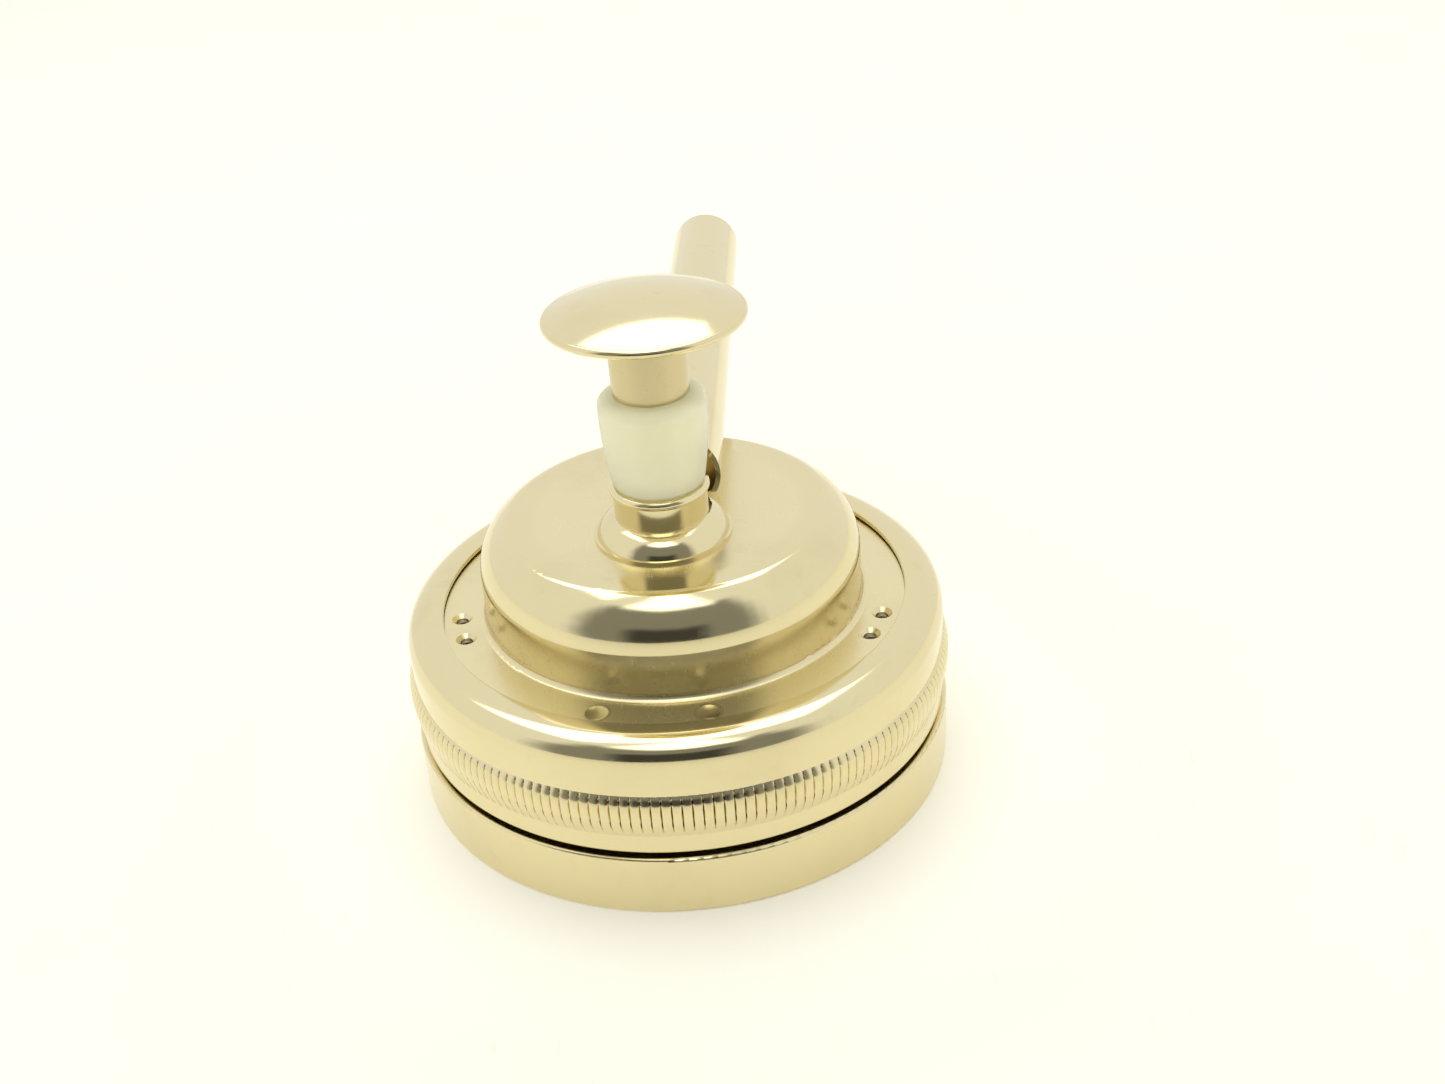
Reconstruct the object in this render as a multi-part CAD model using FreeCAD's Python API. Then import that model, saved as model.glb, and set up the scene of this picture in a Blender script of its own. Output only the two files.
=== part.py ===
import FreeCAD, Part
import math
import os

# Thermostatic steam trap with a thumb purge button, in millimetres.
# Origin: centre of the inlet bore in the base's underside. +Z up along the drum, +Y along the
# outlet tube. The button's axis stands in front of the drum's axis, to leave room for the tube.

# The drum, and the steps outwards from it to the base
drum_radius = 27.6
vent_land = 6.3  # width of bonnet that shows between the drum and the ring's lip
lip_width = 5.5  # from the lip's inner edge to the ring's wall
base_proud = 0.6  # how far the base stands out past the ring
ring_wall = 1.9
thread_gap = 0.3  # between the ring's thread and the spigot's
spigot_wall = 2.8

# Heights of the base and the ring
base_height = 9.2
floor_thickness = 3.0
spigot_height = 14.8
ring_gap = 0.6  # open line between the base's rim and the ring
ring_band = 2.9  # plain band under the milled bead
bead_height = 6.7
bead_proud = 0.85
bead_peak = 0.67  # share of its height where it stands out furthest
bead_swell = 0.75  # of that, halfway up to the peak
gasket_thickness = 1.0
sheet = 1.2  # the bonnet's sheet
slip_thickness = 0.3
lip_thickness = 0.6
drum_height = 14.0  # crown above the bonnet's plate
foot_round = 1.0
edge_break = 0.4

# The ring's and the crown's shoulders: radii of their arcs from the wall up to the flat, and the
# angles above level where one arc gives way to the next
ring_low_arc = 4.2
ring_middle_arc = 1.5
ring_high_arc = 3.8
ring_low_end = 31.0
ring_middle_end = 48.0
crown_low_arc = 7.6
crown_high_arc = 2.2
crown_low_end = 62.0

# Inlet in the base, and its strainer
inlet_bore_radius = 7.475
inlet_length = 8.0
boss_wall = 4.5
strainer_recess = 1.4
strainer_sheet = 0.4
strainer_rise = 1.0
strainer_rim = 1.8  # flat rim round the domed screen
strainer_hole_radius = 0.5
strainer_hole_pitch = 1.7
strainer_wire = 0.5
strainer_wire_width = 1.2
strainer_clip_gap = 2.0

# Vacuum vents in the bonnet, the flap under them and its retainer
vent_groups = 5  # one of them holds the rivets in place of holes
vent_turn = -2.0  # degrees from the outlet tube's line
vent_pair_angle = 10.2
vent_hole_radius = 0.9
vent_dish_radius = 1.5
vent_dish_depth = 0.5
flap_half_width = 2.1
flap_thickness = 0.6
flap_lift = 0.55
flap_play = 0.01
retainer_sheet = 0.8
retainer_rim = 0.6
retainer_gap = 0.2  # round the flap's edges
rivet_pair_angle = 27.6
rivet_radius = 0.8
rivet_head_radius = 2.0
rivet_head_depth = 0.6
rivet_dimple = 0.25
rivet_dimple_width = 0.8  # as a share of the head
rivet_gap = 0.5  # round a rivet, in the flap

# Hub, seat and the nut under the crown
stem_offset = 6.5  # button axis in front of the drum's axis
hub_flange_radius = 9.7
hub_rim_height = 0.4  # thin rim round the flange's foot
hub_rim_width = 0.4
hub_flange_arc = 3.8  # radius of the flange's rounded back
hub_arc_start = 15.0  # degrees above level, at the rim
neck_radius = 6.55
neck_height = 7.9  # lip above the crown
lip_bead = 0.4
lip_bead_height = 1.3
hub_bore_radius = 4.6
mouth_radius = 6.0
mouth_depth = 2.3
shank_radius = 6.0
shank_length = 8.7
shank_gap = 0.1
hub_washer_thickness = 0.8
hub_washer_radius = 9.0
hub_nut_height = 4.0
hub_nut_flats = 17.0
seat_flange = 1.2
seat_depth = 3.0
seat_orifice_radius = 3.4

# Button, its stem and the boot
button_stroke = 4.0
stem_radius = 2.0
stem_top_radius = 2.5
run_gap = 0.05  # a part that slides on the stem
stem_step = 2.4  # start of the thicker stem, under the mouth's floor
stem_break = 0.3
bush_flange = 0.8
bush_length = 5.4
bush_radius = 3.7
boot_height = 14.9
boot_foot_radius = 5.95
boot_radius = 7.4
boot_bore_radius = 3.95
boot_round = 1.6
boot_waist = 0.1  # straight part of the foot above the hub's lip
boot_flare = 6.4  # radius just over the lip
boot_flare_rise = 0.4
boot_belly = 0.72  # share of the growth from flare to full width, halfway up
boot_roof = 1.2
boot_roof_cone = 1.0
collar_height = 8.3
collar_radius = 5.35
collar_taper = 0.1
collar_break = 0.2
head_shoulder = 0.3
head_radius = 13.6
head_cone = 2.1
head_rim = 1.2
head_crown = 2.6
head_socket = 2.6
spring_wire = 0.6
spring_radius = 3.55
spring_turns = 4
clip_thickness = 0.5
clip_radius = 3.3
clip_groove = 0.4
clip_gap = 2.4
spring_washer_thickness = 0.6
spring_washer_radius = 4.2
spring_length = 7.0

# Thermostatic element on the stem
valve_stroke = 0.8
valve_play = 0.05
valve_radius = 6.0
facing_thickness = 0.8
facing_radius = 5.6
disc_thickness = 1.75
disc_land = 0.8  # from the bellows' root to the disc's edge
bellows_radius = 10.5
bellows_root = 7.0
bellows_sheet = 0.35
bellows_folds = 4
inner_bellows_radius = 4.6
inner_bellows_root = 2.9
end_plate_thickness = 1.4
lock_washer_thickness = 0.6
lock_washer_radius = 3.6
stem_nut_height = 2.8
stem_nut_flats = 7.0
stem_tail = 0.6
stem_clearance = 1.0  # left over the strainer when the button is down

# Outlet tube
tube_radius = 6.0
tube_wall = 1.0
tube_length = 94.0
tube_start = -1.7  # y of the open near end
tube_side = 2.2  # x of the tube's axis
tube_lift = 0.1  # braze line between the tube and the crown
tube_gap = 0.35  # round the boot and the hub
plug_depth = 6.8  # how deep the tube's near end is bored out for the plug
plug_step = 0.3  # how much wider than the tube's bore
plug_thickness = 1.2
nipple_side = 1.2
nipple_radius = 1.2
nipple_bore_radius = 0.75
nipple_drop = 1.4  # axis under the mouth's floor
nipple_end_gap = 0.2  # short of the hub's bore
braze_width = 5.0
braze_height = 0.55
braze_length = 15.0
braze_gap = 0.5  # from the keep-out round the hub's flange
corner_turn_off = 0.9  # how much of a nut's corners is turned off

# Radii and levels that follow
lip_inner_radius = drum_radius + vent_land
ring_radius = lip_inner_radius + lip_width
base_radius = ring_radius + base_proud
ring_bore_radius = ring_radius - ring_wall
spigot_radius = ring_bore_radius - thread_gap
cavity_radius = spigot_radius - spigot_wall
rim_radius = spigot_radius - thread_gap
drum_bore_radius = drum_radius - sheet
vent_circle = (drum_radius + foot_round + lip_inner_radius) / 2

spigot_top = base_height + spigot_height
plate_bottom = spigot_top + gasket_thickness
plate_top = plate_bottom + sheet
slip_top = plate_top + slip_thickness
ring_top = slip_top + lip_thickness
ring_bottom = base_height + ring_gap
bead_bottom = ring_bottom + ring_band
bead_top = bead_bottom + bead_height
crown_top = plate_top + drum_height
crown_under = crown_top - sheet
boss_radius = inlet_bore_radius + boss_wall
strainer_seat = inlet_length - strainer_recess
strainer_radius = inlet_bore_radius + boss_wall / 2
strainer_top = inlet_length + strainer_rise
flap_bottom = plate_bottom - flap_lift - flap_play - flap_thickness

hub_arc_r = hub_flange_radius - hub_rim_width - hub_flange_arc * math.cos(math.radians(hub_arc_start))
hub_arc_z = crown_top + hub_rim_height - hub_flange_arc * math.sin(math.radians(hub_arc_start))
hub_arc_end = math.acos((neck_radius - hub_arc_r) / hub_flange_arc)
hub_flange_top = hub_arc_z + hub_flange_arc * math.sin(hub_arc_end)
neck_top = crown_top + neck_height
mouth_floor = neck_top - mouth_depth
shank_bottom = crown_top - shank_length
seat_face = shank_bottom - seat_flange
boot_bottom = mouth_floor + bush_flange
boot_top = boot_bottom + boot_height
collar_top = boot_top + collar_height
rim_bottom = collar_top + head_cone
rim_top = rim_bottom + head_rim
step_level = mouth_floor - stem_step
spring_bottom = shank_bottom + seat_depth
spring_top = spring_bottom + spring_length

facing_top = seat_face - valve_stroke - valve_play
facing_bottom = facing_top - facing_thickness
disc_bottom = facing_bottom - disc_thickness
stem_bottom = strainer_top + stem_clearance + button_stroke
nut_bottom = stem_bottom + stem_tail
nut_top = nut_bottom + stem_nut_height
lock_top = nut_top + lock_washer_thickness
end_plate_top = lock_top + end_plate_thickness

tube_level = crown_top + tube_lift + tube_radius
tube_bore_radius = tube_radius - tube_wall
plug_radius = tube_bore_radius + plug_step
plug_seat = tube_start + plug_depth
nipple_level = mouth_floor - nipple_drop

drum_axis = FreeCAD.Vector(0, 0, 0)
stem_axis = FreeCAD.Vector(0, -stem_offset, 0)
up = FreeCAD.Vector(0, 0, 1)
back = FreeCAD.Vector(0, 1, 0)


def save(node, shape):
    shape.exportStep("parts/" + node + ".step")


def place(radius, level):
    return FreeCAD.Vector(radius, 0, level)


def quarter(centre_r, centre_z, radius, start, end):
    """The middle and end of a rounding, whose angles are in degrees from +r towards +z."""
    middle = math.radians((start + end) / 2)
    last = math.radians(end)
    return [
        (centre_r + radius * math.cos(middle), centre_z + radius * math.sin(middle)),
        (centre_r + radius * math.cos(last), centre_z + radius * math.sin(last)),
    ]


def dome(edge_radius, edge_level, rise):
    """The middle and top of a shallow round crown, from its edge to the axis."""
    ball = (edge_radius**2 + rise**2) / (2 * rise)
    centre = edge_level + rise - ball
    half = math.asin(edge_radius / ball) / 2
    middle = (ball * math.sin(half), centre + ball * math.cos(half))
    return [middle, (0, edge_level + rise)]


def shoulder(wall, top, arcs):
    """Tangent arcs from an upright wall to a level top, wall first, each as quarter() takes it.

    arcs holds (radius, end angle) for each one."""
    centre_r = wall - arcs[0][0]
    centre_z = 0
    start = 0
    found = []
    for (radius, end), (following, _) in zip(arcs, arcs[1:] + arcs[-1:]):
        found.append((centre_r, centre_z, radius, start, end))
        centre_r += (radius - following) * math.cos(math.radians(end))
        centre_z += (radius - following) * math.sin(math.radians(end))
        start = end
    lift = top - centre_z - arcs[-1][0]
    return [(r, z + lift, radius, start, end) for r, z, radius, start, end in found]


def turned(start, moves, axis=drum_axis):
    """A solid turned about a vertical axis. A move is [point], or [middle, end] for an arc."""
    edges = []
    here = start
    for move in moves + [[start]]:
        end = move[-1]
        if len(move) == 2:
            arc = Part.Arc(place(*here), place(*move[0]), place(*end))
            edges.append(arc.toShape())
        elif math.dist(here, end) > 1e-6:
            edges.append(Part.makeLine(place(*here), place(*end)))
        here = end
    face = Part.Face(Part.Wire(edges))
    solid = face.revolve(FreeCAD.Vector(0, 0, 0), up, 360)
    solid.translate(axis)
    return solid


def ring(inner, outer, low, high, axis=drum_axis):
    return turned((inner, low), [[(outer, low)], [(outer, high)], [(inner, high)]], axis)


def rod(radius, low, high, axis=drum_axis):
    return Part.makeCylinder(radius, high - low, axis + up * low, up)


def polar(radius, degrees, level):
    angle = math.radians(degrees)
    return FreeCAD.Vector(radius * math.cos(angle), radius * math.sin(angle), level)


def hex_nut(flats, bore, low, high, axis):
    """A six-sided nut with its corners turned off at both faces."""
    corner = flats / math.sqrt(3)
    points = [axis + polar(corner, 60 * side, low) for side in range(7)]
    prism = Part.Face(Part.makePolygon(points)).extrude(up * (high - low))
    turn_off = (corner - flats / 2) * corner_turn_off
    blank = turned(
        (0, low),
        [
            [(corner - turn_off, low)],
            [(corner, low + turn_off / 2)],
            [(corner, high - turn_off / 2)],
            [(corner - turn_off, high)],
            [(0, high)],
        ],
        axis,
    )
    return prism.common(blank).cut(rod(bore, low, high, axis))


def vent_heading(group):
    return 270 + vent_turn + 360 / vent_groups * group


def vent_points(level):
    """Pairs of vent holes; the group that faces away from the tube holds rivets instead."""
    points = []
    for group in range(1, vent_groups):
        for side in (-0.5, 0.5):
            heading = vent_heading(group) + side * vent_pair_angle
            points.append(polar(vent_circle, heading, level))
    return points


def rivet_points(level):
    """A pair of rivets in front, and a pair across from it behind the drum."""
    points = []
    for heading in (vent_heading(0), vent_heading(0) + 180):
        for side in (-0.5, 0.5):
            points.append(polar(vent_circle, heading + side * rivet_pair_angle, level))
    return points


def make_base_cup():
    """Turned cup with the ring's spigot and the threaded inlet boss."""
    cup = turned(
        (inlet_bore_radius, 0),
        [
            [(base_radius - edge_break, 0)],
            quarter(base_radius - edge_break, edge_break, edge_break, -90, 0),
            [(base_radius, base_height - edge_break)],
            quarter(base_radius - edge_break, base_height - edge_break, edge_break, 0, 90),
            [(spigot_radius, base_height)],
            [(spigot_radius, spigot_top)],
            [(cavity_radius, spigot_top)],
            [(cavity_radius, floor_thickness)],
            [(boss_radius, floor_thickness)],
            [(boss_radius, inlet_length)],
            [(strainer_radius, inlet_length)],
            [(strainer_radius, strainer_seat)],
            [(inlet_bore_radius, strainer_seat)],
        ],
    )
    return cup


def make_inlet_strainer():
    """Shallow perforated dish over the inlet, with three circles of holes."""
    flat = strainer_radius - strainer_rim
    face = strainer_seat + strainer_sheet
    rise = strainer_top - face
    under_middle, under_top = dome(flat, strainer_seat, rise)
    dish = turned(
        under_top,
        [
            [under_middle, (flat, strainer_seat)],
            [(strainer_radius, strainer_seat)],
            [(strainer_radius, face)],
            [(flat, face)],
            dome(flat, face, rise),
        ],
    )
    tools = []
    for circle in (1, 2, 3):
        count = 6 * circle
        for hole in range(count):
            foot = polar(strainer_hole_pitch * circle, 360 / count * hole, strainer_seat - 1)
            tools.append(Part.makeCylinder(strainer_hole_radius, strainer_rise + 4, foot, up))
    return dish.cut(Part.makeCompound(tools))


def make_strainer_clip():
    """Open wire ring that holds the strainer down in its recess."""
    low = strainer_seat + strainer_sheet
    inner = strainer_radius - strainer_wire_width
    clip = ring(inner, strainer_radius, low, low + strainer_wire)
    corner = FreeCAD.Vector(0, -strainer_clip_gap / 2, low - 1)
    return clip.cut(Part.makeBox(strainer_radius, strainer_clip_gap, strainer_wire + 2, corner))


def make_body_gasket():
    return ring(cavity_radius + thread_gap, rim_radius, spigot_top, plate_bottom)


def make_slip_washer():
    return ring(cavity_radius + thread_gap, rim_radius, plate_top, slip_top)


def make_knurled_ring():
    """Cap ring: flat lip, rounded shoulder, threaded wall and a proud milled bead."""
    arcs = [
        (ring_low_arc, ring_low_end),
        (ring_middle_arc, ring_middle_end),
        (ring_high_arc, 90),
    ]
    rounds = shoulder(ring_radius, ring_top, arcs)
    wall_top = rounds[0][1]
    peak = bead_bottom + bead_height * bead_peak
    lower = (ring_radius + bead_proud * bead_swell, (bead_bottom + peak) / 2)
    fall = 2 * math.atan(bead_proud / (bead_top - peak))
    bend = bead_proud / (1 - math.cos(fall))
    upper = quarter(ring_radius + bead_proud - bend, peak, bend, 0, math.degrees(fall))
    return turned(
        (lip_inner_radius, slip_top),
        [
            [(ring_bore_radius, slip_top)],
            [(ring_bore_radius, ring_bottom)],
            [(ring_radius - edge_break, ring_bottom)],
            quarter(ring_radius - edge_break, ring_bottom + edge_break, edge_break, -90, 0),
            [(ring_radius, bead_bottom)],
            [lower, (ring_radius + bead_proud, peak)],
            [upper[0], (ring_radius, bead_top)],
            [(ring_radius, wall_top)],
        ]
        + [quarter(*one) for one in rounds]
        + [[(lip_inner_radius, ring_top)]],
    )


def make_bonnet():
    """Drawn sheet: plate, drum and crown in one, with the vents, rivet and hub holes."""
    arcs = [(crown_low_arc, crown_low_end), (crown_high_arc, 90)]
    inner_arcs = [(radius - sheet, end) for radius, end in arcs]
    outside = shoulder(drum_radius, crown_top, arcs)
    inside = shoulder(drum_bore_radius, crown_under, inner_arcs)
    downwards = [quarter(r, z, arc, end, start) for r, z, arc, start, end in inside[::-1]]
    flat = outside[-1][0]
    wall_top = outside[0][1]
    foot_r = drum_radius + foot_round
    foot_z = plate_top + foot_round
    shell = turned(
        (0, crown_under),
        [[(flat, crown_under)]]
        + downwards
        + [
            [(drum_bore_radius, foot_z)],
            quarter(foot_r, foot_z, foot_round + sheet, 180, 270),
            [(rim_radius, plate_bottom)],
            [(rim_radius, plate_top)],
            [(foot_r, plate_top)],
            quarter(foot_r, foot_z, foot_round, 270, 180),
            [(drum_radius, wall_top)],
        ]
        + [quarter(*one) for one in outside]
        + [[(0, crown_top)]],
    )
    tools = [rod(shank_radius + shank_gap, crown_under - 1, crown_top + 1, stem_axis)]
    for point in vent_points(plate_bottom - 1):
        tools.append(Part.makeCylinder(vent_hole_radius, sheet + 2, point, up))
    for point in vent_points(plate_top - vent_dish_depth):
        tools.append(
            Part.makeCone(vent_hole_radius, vent_dish_radius, vent_dish_depth, point, up)
        )
    for point in rivet_points(plate_bottom - 1):
        tools.append(Part.makeCylinder(rivet_radius, sheet + 2, point, up))
    for point in rivet_points(plate_top - rivet_head_depth):
        tools.append(
            Part.makeCone(rivet_radius, rivet_head_radius, rivet_head_depth, point, up)
        )
    return shell.cut(Part.makeCompound(tools))


def make_vent_flap():
    """Flat ring that falls open on a vacuum and lifts to shut the vents under pressure."""
    flap = ring(
        vent_circle - flap_half_width,
        vent_circle + flap_half_width,
        flap_bottom,
        flap_bottom + flap_thickness,
    )
    tools = []
    for point in rivet_points(flap_bottom - 1):
        tools.append(Part.makeCylinder(rivet_radius + rivet_gap, flap_thickness + 2, point, up))
    return flap.cut(Part.makeCompound(tools))


def make_flap_retainer():
    """Dished ring under the flap, with air slots; its rim is riveted against the plate."""
    inner = vent_circle - flap_half_width - retainer_gap
    outer = vent_circle + flap_half_width + retainer_gap + retainer_rim
    low = flap_bottom - retainer_sheet
    dish = turned(
        (inner, low),
        [
            [(outer, low)],
            [(outer, plate_bottom)],
            [(outer - retainer_rim, plate_bottom)],
            [(outer - retainer_rim, flap_bottom)],
            [(inner, flap_bottom)],
        ],
    )
    tools = []
    for point in rivet_points(low - 1):
        tools.append(Part.makeCylinder(rivet_radius, retainer_sheet + 2, point, up))
    for point in vent_points(low - 1):
        tools.append(Part.makeCylinder(vent_dish_radius, retainer_sheet + 2, point, up))
    return dish.cut(Part.makeCompound(tools))


def make_retainer_rivets():
    """Rivets with a flush dimpled head above, and an upset head under the retainer."""
    foot = flap_bottom - retainer_sheet
    head = plate_top - rivet_head_depth
    dimple = rivet_head_radius * rivet_dimple_width
    rivets = []
    for point in rivet_points(0):
        rivet = turned(
            (0, foot - retainer_sheet),
            [
                [(rivet_head_radius, foot - retainer_sheet)],
                [(rivet_head_radius, foot)],
                [(rivet_radius, foot)],
                [(rivet_radius, head)],
                [(rivet_head_radius, plate_top)],
                [(dimple, plate_top)],
                dome(dimple, plate_top, -rivet_dimple),
            ],
            point,
        )
        rivets.append(rivet)
    return Part.makeCompound(rivets)


def hub_outline():
    """The hub's outside from the crown up to its rolled lip."""
    rim_level = crown_top + hub_rim_height
    bead_r = neck_radius + lip_bead - lip_bead_height / 2
    bead_z = neck_top - lip_bead_height / 2
    return [
        [(hub_flange_radius, crown_top)],
        [(hub_flange_radius, rim_level)],
        [(hub_flange_radius - hub_rim_width, rim_level)],
        quarter(hub_arc_r, hub_arc_z, hub_flange_arc, hub_arc_start, math.degrees(hub_arc_end)),
        [(neck_radius, bead_z - lip_bead_height / 2)],
        quarter(bead_r, bead_z, lip_bead_height / 2, -60, 90),
    ]


def nipple_rod(radius, start, end):
    foot = FreeCAD.Vector(nipple_side, start, nipple_level)
    return Part.makeCylinder(radius, end - start, foot, back)


def make_hub():
    """Flanged hub with neck and lip, a threaded shank through the crown and a side port."""
    body = turned(
        (hub_bore_radius, shank_bottom),
        [[(shank_radius, shank_bottom)], [(shank_radius, crown_top)]]
        + hub_outline()
        + [
            [(mouth_radius, neck_top)],
            [(mouth_radius, mouth_floor)],
            [(hub_bore_radius, mouth_floor)],
        ],
        stem_axis,
    )
    return body.cut(nipple_rod(nipple_radius, -stem_offset, neck_radius))


def make_hub_washer():
    bore = shank_radius + shank_gap
    low = crown_under - hub_washer_thickness
    return ring(bore, hub_washer_radius, low, crown_under, stem_axis)


def make_hub_nut():
    high = crown_under - hub_washer_thickness
    return hex_nut(hub_nut_flats, shank_radius, high - hub_nut_height, high, stem_axis)


def make_valve_seat():
    """Flanged seat in the shank, with a raised land round the orifice's underside."""
    return turned(
        (seat_orifice_radius, seat_face),
        [
            [(shank_radius, seat_face)],
            [(shank_radius, shank_bottom)],
            [(hub_bore_radius, shank_bottom)],
            [(hub_bore_radius, spring_bottom)],
            [(seat_orifice_radius, spring_bottom)],
        ],
        stem_axis,
    )


def make_guide_bush():
    """Flanged bush in the hub's mouth that guides the stem inside the boot."""
    bore = stem_top_radius + run_gap
    top = boot_bottom + bush_length
    return turned(
        (bore, mouth_floor),
        [
            [(boot_foot_radius, mouth_floor)],
            [(boot_foot_radius, boot_bottom)],
            [(bush_radius, boot_bottom)],
            [(bush_radius, top)],
            [(bore, top)],
        ],
        stem_axis,
    )


def make_boot():
    """Soft moulded sleeve between the hub's mouth and the button's collar."""
    waist = neck_top + boot_waist
    flare_top = waist + boot_flare_rise
    wide_high = boot_top - boot_round
    belly = boot_flare + (boot_radius - boot_flare) * boot_belly
    roof = boot_top - boot_roof
    return turned(
        (boot_bore_radius, boot_bottom),
        [
            [(boot_foot_radius, boot_bottom)],
            [(boot_foot_radius, waist)],
            [(boot_flare, flare_top)],
            [(belly, (flare_top + wide_high) / 2), (boot_radius, wide_high)],
            quarter(boot_radius - boot_round, wide_high, boot_round, 0, 90),
            [(stem_top_radius + run_gap, boot_top)],
            [(stem_top_radius + run_gap, roof)],
            [(boot_bore_radius, roof - boot_roof_cone)],
        ],
        stem_axis,
    )


def make_stem_collar():
    return turned(
        (stem_top_radius, boot_top),
        [
            [(collar_radius - collar_taper - collar_break, boot_top)],
            [(collar_radius - collar_taper, boot_top + collar_break)],
            [(collar_radius, collar_top)],
            [(stem_top_radius, collar_top)],
        ],
        stem_axis,
    )


def make_mushroom_head():
    """Thin-rimmed mushroom head, with a blind socket for the stem."""
    rim_round = head_rim / 2
    rim_middle = rim_bottom + rim_round
    crown_radius = head_radius - rim_round
    socket_top = collar_top + head_socket
    return turned(
        (stem_top_radius, collar_top),
        [
            [(collar_radius + head_shoulder, collar_top)],
            [(crown_radius, rim_bottom)],
            quarter(crown_radius, rim_middle, rim_round, -90, 90),
            dome(crown_radius, rim_top, head_crown),
            [(0, socket_top)],
            [(stem_top_radius, socket_top)],
        ],
        stem_axis,
    )


def make_push_stem():
    """Stepped rod from the head down to its nut, with a groove for the spring's clip."""
    groove_low = spring_top + spring_washer_thickness
    groove_radius = stem_radius - clip_groove
    return turned(
        (0, stem_bottom),
        [
            [(stem_radius - stem_break, stem_bottom)],
            [(stem_radius, stem_bottom + stem_break)],
            [(stem_radius, groove_low)],
            [(groove_radius, groove_low)],
            [(groove_radius, groove_low + clip_thickness)],
            [(stem_radius, groove_low + clip_thickness)],
            [(stem_radius, step_level)],
            [(stem_top_radius, step_level)],
            [(stem_top_radius, collar_top + head_socket)],
            [(0, collar_top + head_socket)],
        ],
        stem_axis,
    )


def make_return_spring():
    """Compression spring round the stem, between the seat and the spring washer."""
    pitch = (spring_length - spring_wire) / spring_turns
    helix = Part.makeHelix(pitch, pitch * spring_turns, spring_radius)
    start = FreeCAD.Vector(spring_radius, 0, 0)
    section = Part.Wire(Part.makeCircle(spring_wire / 2, start, back))
    coil = Part.Wire(helix).makePipeShell([section], True, True)
    coil.translate(stem_axis + up * (spring_bottom + spring_wire / 2))
    return coil


def make_spring_washer():
    high = spring_top + spring_washer_thickness
    return ring(stem_radius, spring_washer_radius, spring_top, high, stem_axis)


def make_stem_clip():
    """Open clip snapped into the stem's groove, over the spring washer."""
    low = spring_top + spring_washer_thickness
    clip = ring(stem_radius - clip_groove, clip_radius, low, low + clip_thickness, stem_axis)
    corner = stem_axis + FreeCAD.Vector(0, -clip_gap / 2, low - 1)
    return clip.cut(Part.makeBox(clip_radius + 1, clip_gap, clip_thickness + 2, corner))


def make_valve_disc():
    """Head of the thermostatic element, which slides on the stem."""
    bore = stem_radius + run_gap
    edge = bellows_root + disc_land
    return turned(
        (bore, disc_bottom),
        [
            [(edge, disc_bottom)],
            [(edge, disc_bottom + disc_thickness / 2)],
            [(facing_radius, facing_bottom)],
            [(bore, facing_bottom)],
        ],
        stem_axis,
    )


def make_valve_facing():
    bore = stem_radius + run_gap
    return ring(bore, facing_radius, facing_bottom, facing_top, stem_axis)


def folded_wall(root, crest):
    """A thin wall folded in and out between two radii, turned into a bellows."""
    step = (disc_bottom - end_plate_top) / (2 * bellows_folds)
    line = [(root, end_plate_top)]
    for fold in range(bellows_folds):
        line.append((crest, end_plate_top + step * (2 * fold + 1)))
        line.append((root, end_plate_top + step * (2 * fold + 2)))
    outside = [(radius + bellows_sheet, level) for radius, level in line]
    moves = [[point] for point in line[1:] + outside[::-1]]
    return turned(line[0], moves, stem_axis)


def make_bellows():
    """Outer and inner folded walls, sealed to the valve disc and the end plate."""
    outer = folded_wall(bellows_root, bellows_radius - bellows_sheet)
    inner = folded_wall(inner_bellows_root, inner_bellows_radius)
    return Part.makeCompound([outer, inner])


def make_end_plate():
    return ring(stem_radius, bellows_radius, lock_top, end_plate_top, stem_axis)


def make_lock_washer():
    return ring(stem_radius, lock_washer_radius, nut_top, lock_top, stem_axis)


def make_stem_nut():
    return hex_nut(stem_nut_flats, stem_radius, nut_bottom, nut_top, stem_axis)


def tube_rod(radius, start, end):
    foot = FreeCAD.Vector(tube_side, start, tube_level)
    return Part.makeCylinder(radius, end - start, foot, back)


def stem_keep_out():
    """Room that the tube leaves round the boot and over the hub's flange."""
    widest = max(boot_radius, neck_radius + lip_bead)
    boot_room = rod(widest + tube_gap, crown_top, collar_top, stem_axis)
    flange_room = rod(hub_flange_radius + tube_gap, crown_top, hub_flange_top, stem_axis)
    return boot_room.fuse(flange_room)


def make_outlet_tube():
    """Tube laid on the crown, its near end bored for the plug and coped round the boot."""
    tube_end = tube_start + tube_length
    tube = tube_rod(tube_radius, tube_start, tube_end)
    tube = tube.cut(tube_rod(tube_bore_radius, tube_start - 1, tube_end + 1))
    tube = tube.cut(tube_rod(plug_radius, tube_start - 1, plug_seat))
    return tube.cut(stem_keep_out())


def make_tube_plug():
    """Disc brazed against the step inside the tube's near end, drilled for the nipple."""
    disc = tube_rod(plug_radius, plug_seat - plug_thickness, plug_seat)
    return disc.cut(nipple_rod(nipple_radius, tube_start, plug_seat + 1))


def make_outlet_nipple():
    """Small pipe from the hub's side port to the plug in the tube."""
    start = -stem_offset + hub_bore_radius + nipple_end_gap
    pipe = nipple_rod(nipple_radius, start, plug_seat)
    return pipe.cut(nipple_rod(nipple_bore_radius, start - 1, plug_seat + 1))


def make_tube_braze():
    """Fillet of braze between the tube and the crown, either side of their line."""
    start = -stem_offset + hub_flange_radius + tube_gap + braze_gap
    corner = FreeCAD.Vector(tube_side - braze_width / 2, start, crown_top)
    strip = Part.makeBox(braze_width, braze_length, braze_height, corner)
    return strip.cut(tube_rod(tube_radius, start - 1, start + braze_length + 1))


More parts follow.
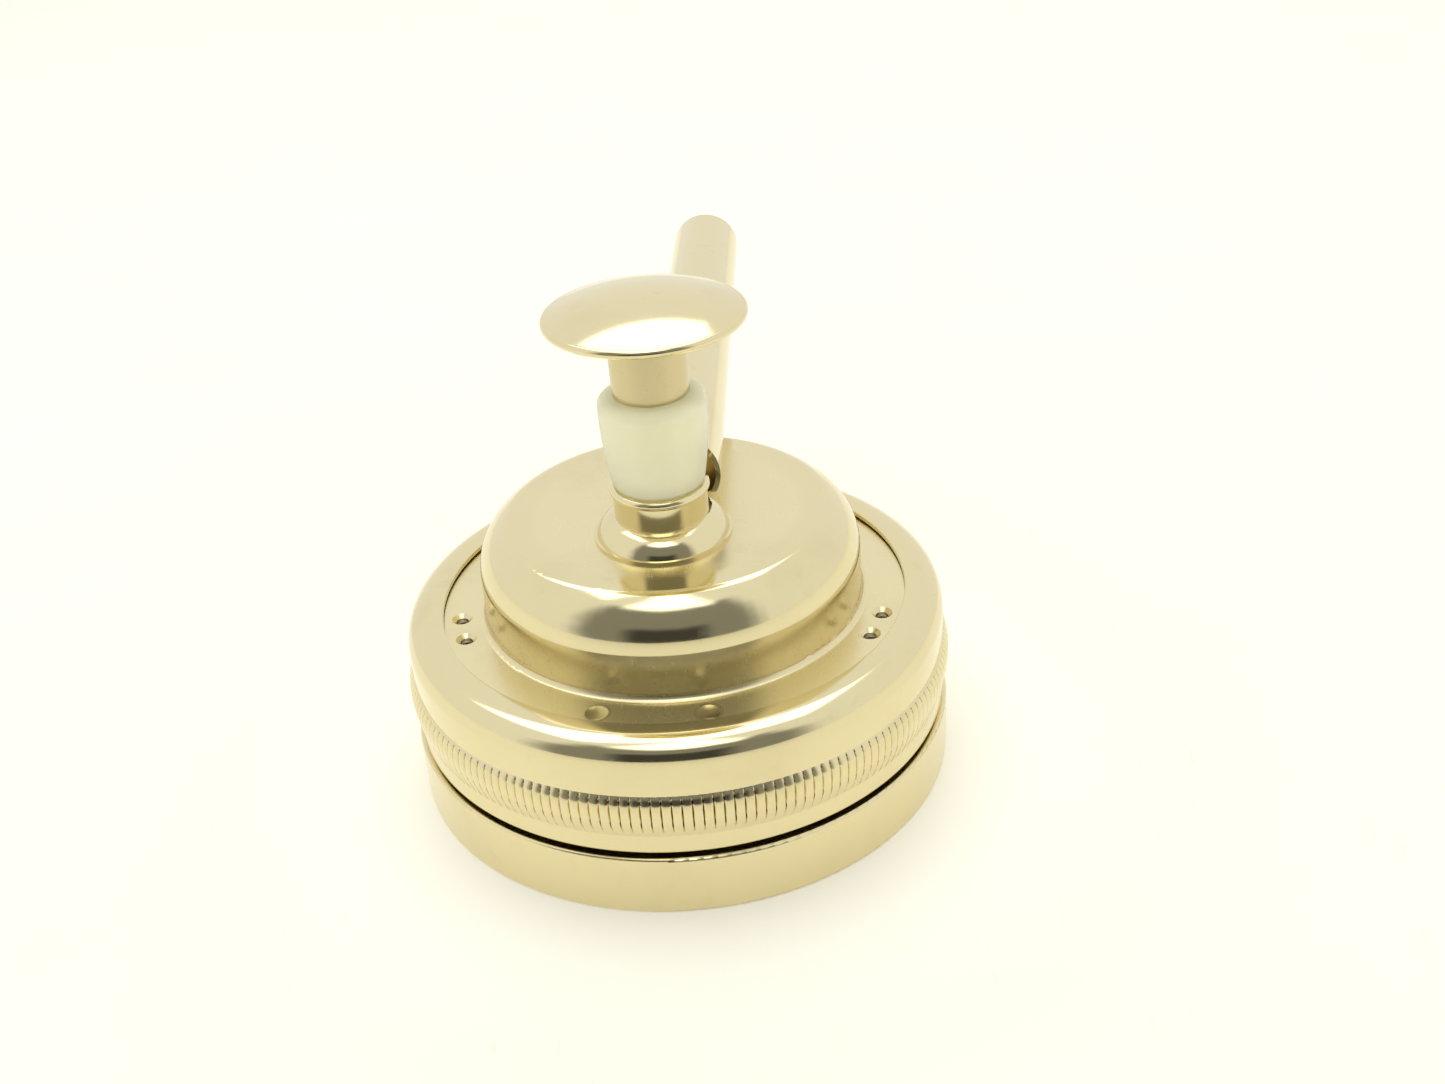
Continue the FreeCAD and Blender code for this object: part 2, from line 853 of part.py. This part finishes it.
os.makedirs("parts", exist_ok=True)
save("base_cup", make_base_cup())
save("inlet_strainer", make_inlet_strainer())
save("strainer_clip", make_strainer_clip())
save("body_gasket", make_body_gasket())
save("slip_washer", make_slip_washer())
save("knurled_ring", make_knurled_ring())
save("bonnet", make_bonnet())
save("vent_flap", make_vent_flap())
save("flap_retainer", make_flap_retainer())
save("retainer_rivets", make_retainer_rivets())
save("hub", make_hub())
save("hub_washer", make_hub_washer())
save("hub_nut", make_hub_nut())
save("valve_seat", make_valve_seat())
save("guide_bush", make_guide_bush())
save("stem_boot", make_boot())
save("stem_collar", make_stem_collar())
save("mushroom_head", make_mushroom_head())
save("push_stem", make_push_stem())
save("return_spring", make_return_spring())
save("spring_washer", make_spring_washer())
save("stem_clip", make_stem_clip())
save("valve_disc", make_valve_disc())
save("valve_facing", make_valve_facing())
save("bellows", make_bellows())
save("end_plate", make_end_plate())
save("lock_washer", make_lock_washer())
save("stem_nut", make_stem_nut())
save("outlet_tube", make_outlet_tube())
save("tube_plug", make_tube_plug())
save("outlet_nipple", make_outlet_nipple())
save("tube_braze", make_tube_braze())
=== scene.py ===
import math
import bpy
import numpy as np
from mathutils import Matrix


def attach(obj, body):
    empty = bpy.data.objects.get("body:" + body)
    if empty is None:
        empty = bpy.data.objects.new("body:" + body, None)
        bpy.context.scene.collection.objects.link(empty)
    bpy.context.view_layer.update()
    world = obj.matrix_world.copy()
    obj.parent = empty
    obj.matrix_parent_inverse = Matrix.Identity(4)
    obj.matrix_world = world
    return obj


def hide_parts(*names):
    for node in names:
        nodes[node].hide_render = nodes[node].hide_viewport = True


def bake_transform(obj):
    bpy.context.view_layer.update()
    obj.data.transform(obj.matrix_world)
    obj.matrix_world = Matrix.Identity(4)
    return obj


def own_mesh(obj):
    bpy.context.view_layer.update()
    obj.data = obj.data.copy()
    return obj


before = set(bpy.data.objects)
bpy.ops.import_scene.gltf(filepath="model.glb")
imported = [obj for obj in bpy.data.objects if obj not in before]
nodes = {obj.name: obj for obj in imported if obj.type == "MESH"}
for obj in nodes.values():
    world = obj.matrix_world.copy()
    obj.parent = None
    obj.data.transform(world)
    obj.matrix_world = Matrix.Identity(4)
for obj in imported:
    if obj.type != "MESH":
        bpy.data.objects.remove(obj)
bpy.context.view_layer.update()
scene = bpy.context.scene
mm = 0.001
print("frame loaded:", len(nodes), "nodes")


# the camera stands in front of the button, a little to its right, and looks down on the trap
camera = {
    "place": (21.5 * mm, -200.4 * mm, 150.6 * mm),
    "heading": 3.95,  # degrees left of +Y
    "drop": 30.11,  # degrees below level
    "roll": -4.09,
    "lens": 39.86,
}


def makeCamera():
    data = bpy.data.cameras.new("viewCamera")
    data.lens = camera["lens"]
    data.clip_start = 10 * mm
    obj = bpy.data.objects.new("viewCamera", data)
    scene.collection.objects.link(obj)
    heading = Matrix.Rotation(math.radians(camera["heading"]), 4, "Z")
    drop = Matrix.Rotation(math.radians(90 - camera["drop"]), 4, "X")
    roll = Matrix.Rotation(math.radians(camera["roll"]), 4, "Z")
    obj.matrix_world = Matrix.Translation(camera["place"]) @ heading @ drop @ roll
    scene.camera = obj


makeCamera()


# shader maths: a Socket holds one value of a material, and + - * ** add Math nodes to it
class Socket:
    def __init__(self, finish, socket):
        self.finish = finish
        self.socket = socket

    def math(self, operation, a, b):
        return self.finish.add("ShaderNodeMath", {"operation": operation}, {0: a, 1: b})

    def __add__(self, other):
        return self.math("ADD", self, other)

    def __radd__(self, other):
        return self.math("ADD", other, self)

    def __sub__(self, other):
        return self.math("SUBTRACT", self, other)

    def __rsub__(self, other):
        return self.math("SUBTRACT", other, self)

    def __mul__(self, other):
        return self.math("MULTIPLY", self, other)

    def __rmul__(self, other):
        return self.math("MULTIPLY", other, self)

    def __pow__(self, other):
        return self.math("POWER", self, other)


# one material: add() makes any node, its settings first and then its sockets' values or links
class Finish:
    def __init__(self, name):
        self.material = bpy.data.materials.new(name)
        self.material.use_nodes = True
        self.tree = self.material.node_tree
        self.tree.nodes.clear()

    def add(self, kind, settings, sockets, out=0):
        node = self.tree.nodes.new(kind)
        for key, value in settings.items():
            setattr(node, key, value)
        for key, value in sockets.items():
            if isinstance(value, Socket):
                self.tree.links.new(value.socket, node.inputs[key])
            elif isinstance(value, tuple) and len(value) == 3 and node.inputs[key].type == "RGBA":
                node.inputs[key].default_value = (*value, 1)
            else:
                node.inputs[key].default_value = value
        return Socket(self, node.outputs[out]) if node.outputs else None

    def here(self, centre=(0, 0, 0), scale=(1, 1, 1)):
        place = self.add("ShaderNodeTexCoord", {}, {}, "Object")
        moved = self.add("ShaderNodeVectorMath", {"operation": "SUBTRACT"}, {0: place, 1: centre})
        return self.add("ShaderNodeVectorMath", {"operation": "MULTIPLY"}, {0: moved, 1: scale})

    def noise(self, vector, scale, detail=2.0, rough=0.5, distortion=0.0):
        sockets = {"Vector": vector, "Scale": scale, "Detail": detail}
        sockets.update({"Roughness": rough, "Distortion": distortion})
        return self.add("ShaderNodeTexNoise", {}, sockets, "Fac")

    # a smooth step from 0 at low to 1 at high; low may be the larger of the two
    def ease(self, value, low, high):
        sockets = {"Value": value, "From Min": low, "From Max": high}
        return self.add("ShaderNodeMapRange", {"interpolation_type": "SMOOTHSTEP"}, sockets)

    def mix(self, share, first, second):
        settings = {"data_type": "RGBA"}
        return self.add("ShaderNodeMix", settings, {0: share, 6: first, 7: second}, 2)

    # distance from an upright axis, turn about it and height
    def around(self, centre):
        first = self.add("ShaderNodeSeparateXYZ", {}, {0: self.here(centre)})
        x, y, z = (Socket(self, out) for out in first.socket.node.outputs)
        turn = self.add("ShaderNodeMath", {"operation": "ARCTAN2"}, {0: y, 1: x})
        return (x * x + y * y) ** 0.5, turn, z

    def vector(self, x, y, z):
        return self.add("ShaderNodeCombineXYZ", {}, {0: x, 1: y, 2: z})

    def bump(self, height, distance):
        return self.add("ShaderNodeBump", {}, {"Height": height, "Distance": distance, "Strength": 1.0})

    def done(self, sockets):
        shader = self.add("ShaderNodeBsdfPrincipled", {}, sockets)
        self.add("ShaderNodeOutputMaterial", {}, {"Surface": shader})
        return self.material


# a grid of points as a mesh of four-sided faces; wrap joins its last row or column to its first
def gridObject(name, points, wrapRows=False, wrapColumns=False, crease=35):
    rows, columns = points.shape[:2]
    upper = np.arange(rows if wrapRows else rows - 1)
    left = np.arange(columns if wrapColumns else columns - 1)
    i, j = np.meshgrid(upper, left, indexing="ij")
    below = (i + 1) % rows
    right = (j + 1) % columns
    corners = [i * columns + j, i * columns + right, below * columns + right, below * columns + j]
    faces = np.stack(corners, -1).reshape(-1, 4)
    flat = points.reshape(-1, 3)
    a, b, c, d = (flat[faces[:, k]] for k in range(4))
    # a closed surface that holds a negative volume is inside out
    if wrapColumns and np.sum(a * np.cross(b, c)) + np.sum(a * np.cross(c, d)) < 0:
        faces = faces[:, ::-1]
    mesh = bpy.data.meshes.new(name)
    mesh.from_pydata(flat, [], faces)
    mesh.polygons.foreach_set("use_smooth", np.ones(len(mesh.polygons), bool))
    mesh.set_sharp_from_angle(angle=math.radians(crease))
    obj = bpy.data.objects.new(name, mesh)
    scene.collection.objects.link(obj)
    return obj


# points on an arc in the (radius, height) half-plane; angles in degrees from +radius
def arc(centre, radius, start, end, count):
    turn = np.radians(np.linspace(start, end, count))
    return np.stack([centre[0] + radius * np.cos(turn), centre[1] + radius * np.sin(turn)], -1)


# a closed outline of (radius, height) in millimetres, turned once about a vertical axis:
# x = radius cos(turn), y = radius sin(turn)
def lathe(name, outline, axis=(0, 0, 0), columns=360):
    outline = np.concatenate([np.atleast_2d(part) for part in outline])
    turn = np.linspace(0, 2 * math.pi, columns, endpoint=False)
    r = outline[:, :1]
    z = outline[:, 1:] + 0 * turn
    points = np.stack([r * np.cos(turn), r * np.sin(turn), z], -1) * mm
    return gridObject(name, points + np.array(axis), True, True)


nickel = {
    "bright": (0.79, 0.70, 0.43),
    # darker nickel for the collar: partly its duller plating, partly painted shade standing in for the
    # dark reflection down its front
    "dullAndShaded": (0.64, 0.55, 0.32),
    "stain": (0.60, 0.50, 0.29),
    "roughness": 0.09,
    "satin": 0.25,  # on the flats, where the buffing was light
    # cycles per metre, coarse to fine
    "clouds": 70,
    "stains": 260,
    "peel": 300,
    "specks": 1900,
    "buffing": 7000,
    "relief": 0.006 * mm,  # depth of the buffing lines and the peel
}


# plated metal with faint stains, buffing lines about the axis and a few stray scratches;
# zone(radius, height) returns the share of the surface that is satin
def nickelPlate(name, axis, lines, seed=0.0, zone=None, base=None):
    f = Finish(name)
    here = f.here((seed, seed * 2, -seed))
    cloud = f.noise(here, nickel["clouds"], 4, 0.6)
    stains = f.ease(f.noise(here, nickel["stains"], 5, 0.62, 0.4), 0.58, 0.76)
    specks = f.ease(f.noise(here, nickel["specks"], 2, 0.5), 0.72, 0.76)
    tarnish = f.ease(cloud, 0.48, 0.85) * 0.3 + stains * 0.16 + specks * 0.3
    colour = f.mix(tarnish, base or nickel["bright"], nickel["stain"])
    radius, turn, height = f.around(axis)
    tight = nickel["buffing"]
    if lines == "turned":
        run = f.vector(radius * tight, turn * 3, height * tight)
    else:
        run = f.here(axis, (tight, 60, tight))
    fine = f.noise(run, 1, 2, 0.6)
    scratch = f.ease(f.noise(f.here(axis, (900, 140, 500)), 1, 3, 0.7, 0.6), 0.63, 0.67)
    peel = f.noise(here, nickel["peel"], 1, 0.4)
    satin = zone(f, radius, height) if zone else 0.0
    rough = nickel["roughness"] + (nickel["satin"] - nickel["roughness"]) * satin
    rough = fine * 0.03 + stains * 0.05 + scratch * 0.05 + rough
    normal = f.bump(fine * 0.03 + peel * 0.8, nickel["relief"])
    return f.done({"Base Color": colour, "Metallic": 1.0, "Roughness": rough, "Normal": normal})


def plain(name, colour, metallic, rough, speckle=0.12, scale=900):
    f = Finish(name)
    here = f.here()
    patch = f.noise(here, scale, 4, 0.6)
    dark = tuple(c * (1 - speckle * 2) for c in colour)
    shade = f.mix(patch, dark, colour)
    normal = f.bump(f.noise(here, scale * 4, 3, 0.6), 0.01 * mm)
    sockets = {"Base Color": shade, "Metallic": metallic, "Roughness": patch * 0.15 + rough}
    sockets["Normal"] = normal
    return f.done(sockets)


trapAxis = (0, 0, 0)
stemAxis = (0, -6.5 * mm, 0)


def dress(node, material):
    mesh = nodes[node].data
    mesh.materials.clear()
    mesh.materials.append(material)


# the bonnet is bright on the crown's rounded shoulder and satin elsewhere
def bonnetZone(f, radius, height):
    shoulder = f.ease(radius, 18.5 * mm, 20.5 * mm) * f.ease(height, 31 * mm, 34 * mm)
    return 1 - shoulder


def ringZone(f, radius, height):
    return f.ease(height, 20 * mm, 18.5 * mm) * 0.4


def allSatin(f, radius, height):
    return f.ease(height, -1, -0.9)


steel = plain("turnedSteel", (0.72, 0.71, 0.68), 1.0, 0.25)
springSteel = plain("springSteel", (0.55, 0.55, 0.55), 1.0, 0.3)
brass = plain("turnedBrass", (0.80, 0.58, 0.26), 1.0, 0.28)
bronze = plain("bellowsBronze", (0.72, 0.45, 0.24), 1.0, 0.32)
braze = plain("brazeMetal", (0.82, 0.70, 0.46), 1.0, 0.4)
whitePlastic = plain("whitePlastic", (0.88, 0.88, 0.86), 0.0, 0.5, 0.03)
fibre = plain("gasketFibre", (0.30, 0.19, 0.13), 0.0, 0.8, 0.25)

nickelRing = nickelPlate("nickelRing", trapAxis, "turned", 0.027, ringZone)
dress("base_cup", nickelPlate("nickelBase", trapAxis, "turned", 0.011, ringZone))
dress("bonnet", nickelPlate("nickelBonnet", trapAxis, "turned", 0.041, bonnetZone))
dress("hub", nickelPlate("nickelHub", stemAxis, "turned", 0.053))
dress("stem_collar", nickelPlate("nickelCollar", stemAxis, "turned", 0.067, allSatin, nickel["dullAndShaded"]))
dress("mushroom_head", nickelPlate("nickelHead", stemAxis, "turned", 0.081))
dress("outlet_tube", nickelPlate("nickelTube", stemAxis, "drawn", 0.093))
dress("retainer_rivets", nickelPlate("nickelRivets", trapAxis, "turned", 0.11))
for node in ("inlet_strainer", "valve_seat", "push_stem", "spring_washer", "stem_nut"):
    dress(node, steel)
for node in ("strainer_clip", "stem_clip", "lock_washer"):
    dress(node, springSteel)
for node in ("slip_washer", "flap_retainer", "hub_nut", "valve_disc", "end_plate"):
    dress(node, brass)
for node in ("tube_plug", "outlet_nipple"):
    dress(node, brass)
for node in ("body_gasket", "hub_washer"):
    dress(node, fibre)
for node in ("vent_flap", "guide_bush", "valve_facing"):
    dress(node, whitePlastic)
dress("tube_braze", braze)


# the clamp ring's turned shell, in millimetres
ring = {
    "radius": 39.4,
    "bore": 37.5,
    "lipInner": 33.9,
    "bottom": 9.8,
    "lipLow": 26.5,
    "top": 27.1,
    "arcs": ((4.2, 31), (1.5, 48), (3.8, 90)),  # the shoulder's, from the wall up: radius, end
    "edge": 0.4,
    "lipEdge": 0.2,
}


# tangent arcs from an upright wall at zero height up to a level top; the last point is the highest
def shoulderLine(wall, arcs):
    centre = np.array([wall - arcs[0][0], 0.0])
    start = 0
    line = []
    for index, (radius, end) in enumerate(arcs):
        line.append(arc(centre, radius, start, end, 9)[1 if index else 0 :])
        following = arcs[min(index + 1, len(arcs) - 1)][0]
        angle = math.radians(end)
        centre = centre + (radius - following) * np.array([math.cos(angle), math.sin(angle)])
        start = end
    return np.concatenate(line)


def makeRing():
    edge = ring["edge"]
    lip = ring["lipEdge"]
    line = shoulderLine(ring["radius"], ring["arcs"])
    line[:, 1] += ring["top"] - line[-1, 1]
    wall = np.linspace(ring["bottom"] + 1, line[0, 1] - 0.5, 8)
    outline = [
        (ring["bore"], ring["lipLow"]),
        (ring["bore"], ring["bottom"] + edge / 2),
        (ring["bore"] + edge / 2, ring["bottom"]),
        arc((ring["radius"] - edge, ring["bottom"] + edge), edge, -90, 0, 7),
        np.stack([np.full(8, ring["radius"]), wall], -1),
        line,
        (ring["lipInner"] + 1, ring["top"]),
        arc((ring["lipInner"] + lip, ring["top"] - lip), lip, 90, 180, 6),
        (ring["lipInner"], ring["lipLow"]),
    ]
    obj = lathe("clampRing", outline, trapAxis)
    obj.data.materials.append(nickelRing)
    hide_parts("knurled_ring")
    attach(obj, "clamp_ring")


# the milled bead: a band that swells as a quarter sine up to its peak and falls away as a round
# over it, cut by upright vee grooves of constant depth, which narrow to points at its foot
bead = {
    "flutes": 182,
    "bottom": 12.7,
    "top": 19.4,
    "proud": 0.85,
    "peak": 0.67,  # share of its height where it stands out furthest
    "sunk": 0.25,  # how far its back lies inside the ring's wall
    "grooveFloor": 0.10,
    "grooveSlope": 4.2,
    "crown": 0.07,  # roundness of each tooth between two grooves
}


def makeBead():
    # across one tooth, from groove to groove, in half pitches
    across = np.array([-1, -0.86, -0.72, -0.55, -0.25, 0, 0.25, 0.55, 0.72, 0.86])
    tooth = np.arange(bead["flutes"])[:, None]
    turn = ((tooth + across / 2) * 2 * math.pi / bead["flutes"]).reshape(1, -1)
    side = np.tile(np.abs(across), bead["flutes"])[None, :]
    rise = (1 - np.cos(np.linspace(0, math.pi, 25)))[:, None] / 2
    z = bead["bottom"] + (bead["top"] - bead["bottom"]) * rise
    below = bead["proud"] * np.sin(np.minimum(rise / bead["peak"], 1) * math.pi / 2)
    room = (bead["top"] - bead["bottom"]) * (1 - bead["peak"])
    bend = (room**2 / bead["proud"] + bead["proud"]) / 2
    over = np.maximum(rise - bead["peak"], 0) * (bead["top"] - bead["bottom"])
    bow = below - (bend - np.sqrt(bend**2 - over**2)) - bead["crown"] * side**2
    groove = bead["grooveFloor"] + bead["grooveSlope"] * (1 - side)
    out = np.maximum(np.minimum(bow, groove), -0.02)
    back = np.full((1, turn.size), -bead["sunk"])
    out = np.concatenate([back, out, back])
    z = np.concatenate([z[:1] + 0.05, z, z[-1:] - 0.05])
    r = ring["radius"] + out
    points = np.stack([r * np.cos(turn), r * np.sin(turn), z + 0 * r], -1) * mm
    obj = gridObject("milledBead", points, True, True, 60)
    obj.data.materials.append(nickelRing)
    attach(obj, "clamp_ring")


makeRing()
makeBead()
print("clamp ring ready")


# the soft boot round the stem, in millimetres
boot = {
    "bottom": 46.6,
    "top": 61.5,
    "waist": 48.2,
    "foot": 5.95,
    "flare": 6.4,
    "flareTop": 48.6,
    "wide": 7.4,
    "corner": 1.5,
    "bore": 3.95,
    "roof": 1.2,
    "stem": 2.55,
    "footShadeTop": 51.5,  # below this the silicone is painted darker and warmer: painted shade in the neck's mouth and a painted reflection of the metal
    "footShadeFoot": 47.5,
    "pressed": 0.7315,  # share of its height left with the button down
    "colour": (0.98, 0.94, 0.72),
    "shade": (0.90, 0.84, 0.60),
}


def bootMaterial():
    f = Finish("milkySilicone")
    here = f.here()
    height = f.around(stemAxis)[2]
    # painted shade and painted reflection of the metal, growing towards the boot's foot
    foot = f.ease(height, boot["footShadeTop"] * mm, boot["footShadeFoot"] * mm)
    cloud = f.noise(here, 160, 3, 0.5)
    colour = f.mix(foot * 0.5 + cloud * 0.25, boot["colour"], boot["shade"])
    normal = f.bump(f.noise(here, 240, 2, 0.5), 0.02 * mm)
    sockets = {"Base Color": colour, "Roughness": 0.42, "Normal": normal, "IOR": 1.41}
    # painted light: the silicone glows faintly in its own colour
    sockets.update({"Emission Color": colour, "Emission Strength": 0.08})
    sockets.update({"Subsurface Weight": 1.0, "Subsurface Radius": (1.0, 0.92, 0.6)})
    sockets.update({"Subsurface Scale": 3.5 * mm, "Transmission Weight": 0.5})
    return f.done(sockets)


# outline: a straight foot, a short flare over the lip, then a belly that grows as one minus a
# power of the height left
def makeBoot():
    share = np.linspace(0, 1, 24)
    belly = boot["wide"] - (boot["wide"] - boot["flare"]) * (1 - share) ** 2.1
    wideHigh = boot["top"] - boot["corner"]
    level = boot["flareTop"] + (wideHigh - boot["flareTop"]) * share
    outline = [
        (boot["bore"], boot["bottom"]),
        (boot["foot"] - 0.2, boot["bottom"]),
        (boot["foot"], boot["bottom"] + 0.2),
        (boot["foot"], boot["waist"]),
        np.stack([belly, level], -1),
        arc((boot["wide"] - boot["corner"], wideHigh), boot["corner"], 5, 90, 12),
        (boot["stem"] + 0.2, boot["top"]),
        (boot["stem"], boot["top"] - 0.2),
        (boot["stem"], boot["top"] - boot["roof"]),
        arc((boot["bore"] - 0.8, boot["top"] - boot["roof"] - 0.8), 0.8, 90, 0, 6),
    ]
    obj = lathe("softBoot", outline, stemAxis, 128)
    obj.data.materials.append(bootMaterial())
    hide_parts("stem_boot")
    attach(obj, "trap_body")
    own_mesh(obj)


# the return spring under the boot, round the stem, in millimetres
coil = {
    "bottom": 34.5,
    "top": 41.5,
    "radius": 3.55,
    "wire": 0.3,
    "turns": 5.5,
    "closed": 0.75,  # turns at each end that lie nearly flat
    "closedPitch": 0.645,
    "openPitch": 1.2,
    "tip": 0.01,  # the wire's radius at its two ends
    "pressed": 0.4286,  # share of its height left with the button down
}


# wire swept along a helix: height rises with the turn, slower over the closed end turns
def makeSpring():
    turn = np.linspace(0, coil["turns"], 265)
    pitch = np.full(turn.size, 1.0)
    flat = np.minimum(turn, coil["turns"] - turn) < coil["closed"]
    pitch[flat] = coil["closedPitch"] / coil["openPitch"]
    climb = np.concatenate([[0], np.cumsum((pitch[1:] + pitch[:-1]) / 2)])
    low = coil["bottom"] + coil["wire"]
    z = low + climb / climb[-1] * (coil["top"] - coil["bottom"] - 2 * coil["wire"])
    angle = turn * 2 * math.pi
    girth = np.linspace(0, 2 * math.pi, 12, endpoint=False)
    thick = np.full(turn.size, coil["wire"])
    thick[[0, -1]] = coil["tip"]
    r = coil["radius"] + thick[:, None] * np.cos(girth)
    height = z[:, None] + thick[:, None] * np.sin(girth)
    points = np.stack([r * np.cos(angle)[:, None], r * np.sin(angle)[:, None], height], -1) * mm
    obj = gridObject("returnCoil", points + np.array(stemAxis), False, True, 60)
    obj.data.materials.append(springSteel)
    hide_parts("return_spring")
    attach(obj, "trap_body")
    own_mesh(obj)


# the element's bellows, outer and inner walls, in millimetres
folds = {
    "bottom": 19.4,
    "top": 26.9,
    "count": 4,
    "sheet": 0.3,
    "outer": (7.2, 10.3),
    "inner": (3.1, 4.9),
}


# a wall whose radius swings as a cosine between root and crest, given its sheet's thickness
def foldedWall(name, root, crest):
    share = np.linspace(0, 1, folds["count"] * 24 + 1)
    swing = (crest - root - folds["sheet"]) / 2
    r = (crest + root) / 2 - swing * np.cos(share * folds["count"] * 2 * math.pi)
    z = folds["bottom"] + (folds["top"] - folds["bottom"]) * share
    slopeR = np.gradient(r)
    slopeZ = np.gradient(z)
    length = np.hypot(slopeR, slopeZ)
    half = folds["sheet"] / 2
    offset = np.stack([slopeZ / length, -slopeR / length * 0.5], -1) * half
    line = np.stack([r, z], -1)
    outline = np.concatenate([line + offset, (line - offset)[::-1]])
    obj = lathe(name, [outline], stemAxis, 96)
    obj.data.materials.append(bronze)
    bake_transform(obj)
    return obj


makeBoot()
makeSpring()
outerBellows = foldedWall("bellowsOuter", *folds["outer"])
foldedWall("bellowsInner", *folds["inner"])
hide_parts("bellows")
print("boot, spring and bellows ready")


# studio: a white tent of light with one brighter panel overhead and behind. In front, where the
# camera stands, the tent is dim, which gives the polished shoulders their dark line.
studio = {
    "tent": (1.0, 0.995, 0.98),
    "tentStrength": 0.95,
    "panelHeading": -18,  # degrees from +Y towards +X
    "panelHeight": 72,  # degrees above the floor
    "panelDistance": 0.9,
    "panelSize": (0.85, 0.62),
    "panelColour": (0.93, 0.97, 1.0),
    "panelPower": 2.3,
    "dimDistance": 0.42,
    "dimSpread": 70,  # degrees to either side of -Y
    "dimTop": 89,
    "dimDark": 0.06,
    "dimMid": 0.27,
    "skylight": 2.4,
    "dimHeading": (15, 27, 42, 60),  # degrees from -Y: dark to mid tone, mid tone to tent
    "darkTop": (20, 31),  # degrees above the floor: dark to mid tone
    "skyFoot": (56, 64),  # mid tone to skylight
    "skyHeading": (28, 46),
}


def makeTent():
    world = bpy.data.worlds.new("tent")
    world.use_nodes = True
    light = world.node_tree.nodes["Background"].inputs
    light["Color"].default_value = (*studio["tent"], 1)
    light["Strength"].default_value = studio["tentStrength"]
    scene.world = world


def makePanel():
    data = bpy.data.lights.new("softPanel", "AREA")
    data.shape = "RECTANGLE"
    data.size, data.size_y = studio["panelSize"]
    data.energy = studio["panelPower"]
    data.color = studio["panelColour"]
    obj = bpy.data.objects.new("softPanel", data)
    scene.collection.objects.link(obj)
    spin = Matrix.Rotation(math.radians(-studio["panelHeading"]), 4, "Z")
    tilt = Matrix.Rotation(math.radians(studio["panelHeight"] - 90), 4, "X")
    obj.matrix_world = spin @ tilt @ Matrix.Translation((0, 0, studio["panelDistance"]))
    obj.visible_camera = False


# the pale table, with a stronger glow close round the object
table = {
    "halfWidth": 2.5,
    "warm": (0.90, 0.875, 0.755),
    "pale": (0.93, 0.91, 0.81),
    "fleck": (0.74, 0.69, 0.55),
    "glow": 0.2,
    "glowReach": (75 * mm, 42 * mm),
    "glowFar": (0.19, 0.18, 0.15),
    "glowNear": (0.86, 0.83, 0.70),
}


def makeFloor():
    side = np.linspace(-table["halfWidth"], table["halfWidth"], 3)
    x, y = np.meshgrid(side, side)
    obj = gridObject("floor", np.stack([x, y, x * 0], -1))
    f = Finish("paleTable")
    here = f.here()
    soft = f.noise(here, 14, 3)
    streak = f.noise(f.here((0, 0, 0), (700, 90, 1)), 1, 3, 0.6, 0.5)
    fleck = f.ease(streak, 0.66, 0.74)
    pale = f.mix(soft, table["warm"], table["pale"])
    colour = f.mix(fleck * 0.25, pale, table["fleck"])
    near = f.ease(f.around(trapAxis)[0], *table["glowReach"])
    sockets = {"Base Color": colour, "Roughness": 0.5, "Emission Strength": table["glow"]}
    sockets["Emission Color"] = f.mix(near, table["glowFar"], table["glowNear"])
    obj.data.materials.append(f.done(sockets))


# a card bent about the object; its glow depends on heading and height, seen from the object:
# dark low down in the middle, mid tone round that, a skylight over it, and the tent elsewhere
def makeDimSide():
    heading = np.radians(np.linspace(-studio["dimSpread"], studio["dimSpread"], 49))
    height = np.radians(np.linspace(0, studio["dimTop"], 45))
    u, v = np.meshgrid(heading, height)
    r = studio["dimDistance"]
    points = np.stack([np.sin(u) * np.cos(v), -np.cos(u) * np.cos(v), np.sin(v)], -1) * r
    obj = gridObject("dimSide", points)
    obj.visible_camera = False
    obj.visible_diffuse = False
    f = Finish("dimCloth")
    radius, turn, level = f.around(trapAxis)
    wave = (f.noise(f.here(), 9, 3) - 0.5) * 8
    turned = f.add("ShaderNodeMath", {"operation": "ABSOLUTE"}, {0: turn * (180 / math.pi) + 90})
    raised = f.add("ShaderNodeMath", {"operation": "ARCTAN2"}, {0: level, 1: radius})
    turned = turned + wave
    raised = raised * (180 / math.pi) + wave
    core0, core1, edge0, edge1 = studio["dimHeading"]
    dark = f.ease(turned, core1, core0) * f.ease(raised, *studio["darkTop"][::-1])
    sky = f.ease(raised, *studio["skyFoot"]) * f.ease(turned, *studio["skyHeading"][::-1])
    cover = f.ease(turned, edge1, edge0) * f.ease(raised, 66, 60)
    full = studio["skylight"]
    tent = tuple(c * studio["tentStrength"] / full for c in studio["tent"])
    tints = [np.array((1, 1, 0.95)) * studio[tone] / full for tone in ("dimMid", "dimDark")]
    mid, deep = (tuple(tint.tolist()) for tint in tints)
    glow = f.mix(sky, f.mix(cover, tent, f.mix(dark, mid, deep)), (1.0, 1.0, 0.99))
    black = {"Base Color": (0.0, 0.0, 0.0), "Roughness": 1.0, "Specular IOR Level": 0.0}
    black.update({"Emission Color": glow, "Emission Strength": full})
    obj.data.materials.append(f.done(black))


makeTent()
makePanel()
makeFloor()
makeDimSide()
scene.view_settings.view_transform = "Standard"
print("studio ready")
